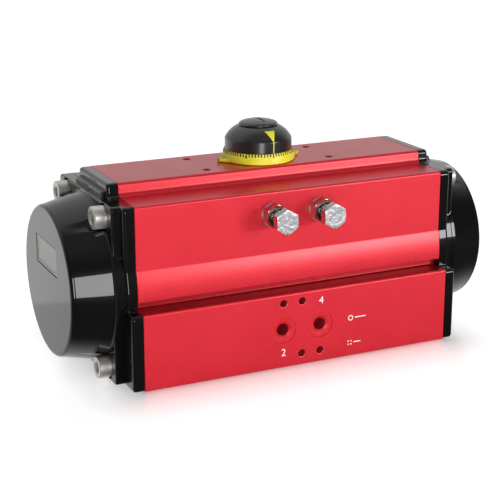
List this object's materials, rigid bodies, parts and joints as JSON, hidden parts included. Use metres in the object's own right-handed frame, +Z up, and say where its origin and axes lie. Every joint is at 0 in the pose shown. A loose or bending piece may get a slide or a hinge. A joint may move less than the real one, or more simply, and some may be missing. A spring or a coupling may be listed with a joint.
{
  "type": "rotary pneumatic actuator",
  "caption": "Rack-and-pinion rotary pneumatic actuator, quarter turn with spring return, for turning a valve stem.",
  "frame": {"origin": "shaft axis, in the valve-mounting face at the bottom", "axes": "+X along the bore towards the right end cap, -Y towards the air ports, +Z up the shaft"},
  "size_m": [0.266, 0.1218, 0.135],
  "materials": {
    "red_anodised": "satin red anodising with a fine grain",
    "black_gloss": "gloss black powder coat on die-cast aluminium",
    "stainless": "plain stainless steel, turned and pressed",
    "steel": "machined steel with a thin oil film",
    "cast_aluminium": "die-cast, machined on the running faces",
    "bearing_plastic": "matt acetal",
    "rubber": "matt nitrile rubber",
    "yellow_plastic": "satin moulded plastic",
    "black_plastic": "satin moulded plastic"
  },
  "bodies": {
    "housing": {"cap_screw_left_back_bottom": "stainless", "cap_screw_left_back_top": "stainless", "cap_screw_left_front_bottom": "stainless", "cap_screw_left_front_top": "stainless", "cap_screw_right_back_bottom": "stainless", "cap_screw_right_back_top": "stainless", "cap_screw_right_front_bottom": "stainless", "cap_screw_right_front_top": "stainless", "cap_seal_left": "rubber", "cap_seal_right": "rubber", "cylinder_body": "red_anodised", "end_cap_left": "black_gloss", "end_cap_right": "black_gloss", "lock_nut_left": "stainless", "lock_nut_right": "stainless", "rating_plate_left": "stainless", "rating_plate_right": "stainless", "return_spring_left_1": "steel", "return_spring_left_2": "steel", "return_spring_left_3": "steel", "return_spring_right_1": "steel", "return_spring_right_2": "steel", "return_spring_right_3": "steel", "shaft_bush_bottom": "bearing_plastic", "shaft_bush_top": "bearing_plastic", "shaft_seal_bottom": "rubber", "shaft_seal_top": "rubber", "spring_washer_left_back_bottom": "stainless", "spring_washer_left_back_top": "stainless", "spring_washer_left_front_bottom": "stainless", "spring_washer_left_front_top": "stainless", "spring_washer_right_back_bottom": "stainless", "spring_washer_right_back_top": "stainless", "spring_washer_right_front_bottom": "stainless", "spring_washer_right_front_top": "stainless", "stop_washer_left": "stainless", "stop_washer_right": "stainless", "thrust_bearing": "bearing_plastic", "thrust_washer": "stainless"},
    "drive": {"pinion_shaft": "steel", "stop_cam": "steel", "shaft_circlip": "steel", "indicator_dome": "black_plastic", "indicator_pointer": "yellow_plastic", "indicator_screw": "stainless", "indicator_cap": "black_plastic"},
    "left_piston": {"piston_left": "cast_aluminium", "piston_seal_left": "rubber", "piston_band_left": "bearing_plastic", "guide_pad_left": "bearing_plastic"},
    "right_piston": {"piston_right": "cast_aluminium", "piston_seal_right": "rubber", "piston_band_right": "bearing_plastic", "guide_pad_right": "bearing_plastic"},
    "left_stop_bolt": {"stop_bolt_left": "stainless"},
    "right_stop_bolt": {"stop_bolt_right": "stainless"},
    "scale": {"scale_ring": "yellow_plastic"}
  },
  "joints": [
    {"name": "shaft_turn", "type": "hinge", "parent": "housing", "child": "drive", "pos_m": [0, 0, 0], "axis": [0, 0, 1], "range_deg": [0, 90], "stiffness_Nm_per_rad": 4.9, "springref_deg": -124.9},
    {"name": "piston_left_slide", "type": "slide", "parent": "housing", "child": "left_piston", "axis": [-1, 0, 0], "range_m": [0, 0.0252], "deforming": ["return_spring_left_1", "return_spring_left_2", "return_spring_left_3"]},
    {"name": "piston_right_slide", "type": "slide", "parent": "housing", "child": "right_piston", "axis": [1, 0, 0], "range_m": [0, 0.0252], "deforming": ["return_spring_right_1", "return_spring_right_2", "return_spring_right_3"]},
    {"name": "stop_bolt_left_travel", "type": "slide", "parent": "housing", "child": "left_stop_bolt", "axis": [0, -1, 0], "range_m": [0, 0.006]},
    {"name": "stop_bolt_right_travel", "type": "slide", "parent": "housing", "child": "right_stop_bolt", "axis": [0, -1, 0], "range_m": [0, 0.006]},
    {"name": "scale_ring_turn", "type": "hinge", "parent": "housing", "child": "scale", "pos_m": [0, 0, 0.1115], "axis": [0, 0, 1], "range_deg": [-45, 45]}
  ],
  "couplings": [
    {"joint": "piston_left_slide", "follows": "shaft_turn", "m_per_rad": 0.016},
    {"joint": "piston_right_slide", "follows": "shaft_turn", "m_per_rad": 0.016}
  ]
}
